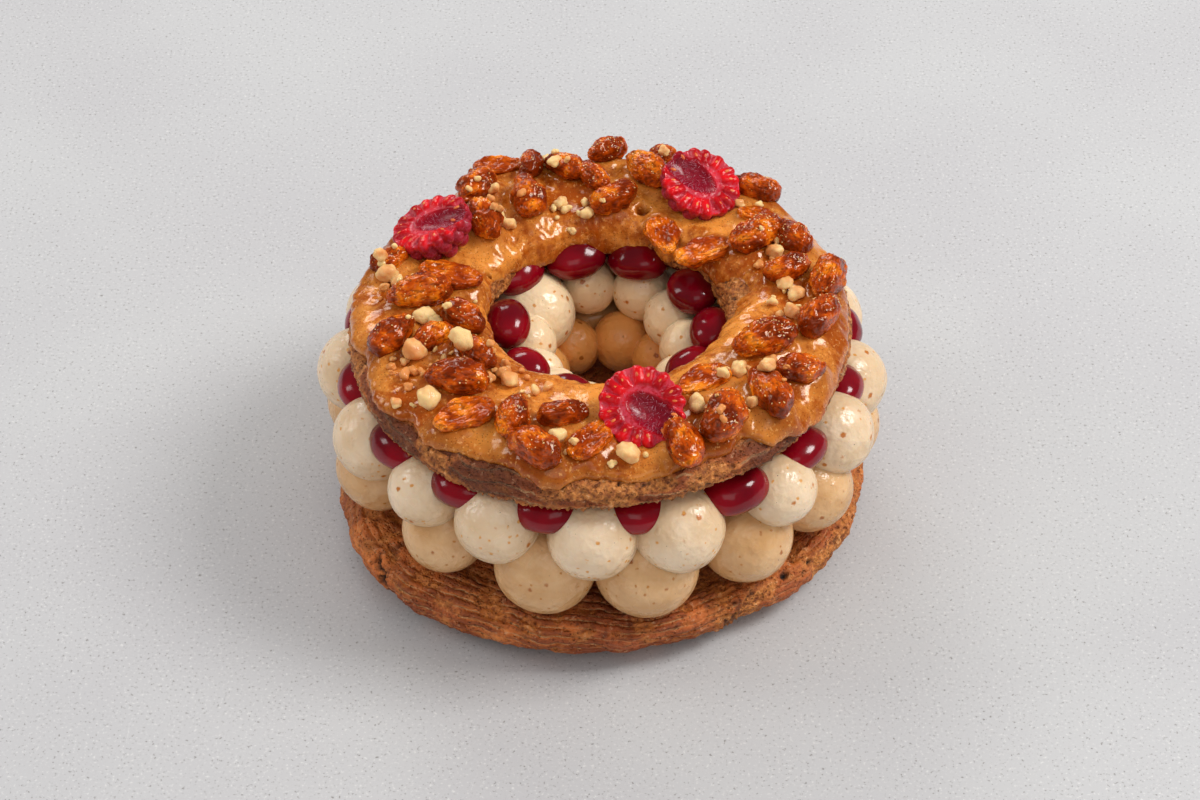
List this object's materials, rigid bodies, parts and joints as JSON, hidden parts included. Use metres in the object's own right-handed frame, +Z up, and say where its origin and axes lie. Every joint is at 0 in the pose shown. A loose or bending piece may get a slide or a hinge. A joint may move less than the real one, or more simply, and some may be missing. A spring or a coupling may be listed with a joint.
{
  "type": "paris brest pastry",
  "caption": "Ring of choux pastry filled with piped cream and red fruit gel, under a lid with praline glaze, candied nuts and raspberry halves.",
  "frame": {"origin": "on the surface the pastry rests on, under the middle of its bounding box", "axes": "+Z up through the hole, +X to the right and -Y towards the viewer of its front"},
  "size_m": [0.1372, 0.132, 0.0703],
  "materials": {
    "choux": "baked crust",
    "praline_cream": "satin cream",
    "vanilla_cream": "satin cream",
    "gel": "glossy gel",
    "glaze": "glossy glaze",
    "berry": "soft, moist where cut",
    "nut": "cracked caramel"
  },
  "bodies": {
    "root": {"choux_base": "choux", "choux_lid": "choux", "cream_lower": "praline_cream", "cream_upper": "vanilla_cream", "fruit_gel": "gel", "praline_glaze": "glaze", "raspberry_front": "berry", "raspberry_left": "berry", "raspberry_back": "berry", "nut_01": "nut", "nut_02": "nut", "nut_03": "nut", "nut_04": "nut", "nut_05": "nut", "nut_06": "nut", "nut_07": "nut", "nut_08": "nut", "nut_09": "nut", "nut_10": "nut", "nut_11": "nut", "nut_12": "nut", "nut_13": "nut", "nut_14": "nut", "nut_15": "nut", "nut_16": "nut", "nut_17": "nut", "nut_18": "nut", "nut_19": "nut", "nut_20": "nut", "nut_21": "nut", "nut_22": "nut", "nut_23": "nut", "nut_24": "nut", "nut_25": "nut", "nut_26": "nut", "nut_27": "nut", "nut_28": "nut", "nut_29": "nut", "nut_30": "nut", "nut_31": "nut", "nut_32": "nut", "nut_33": "nut", "nut_34": "nut", "nut_35": "nut", "nut_36": "nut", "nut_37": "nut", "nut_38": "nut", "nut_39": "nut"}
  },
  "joints": []
}
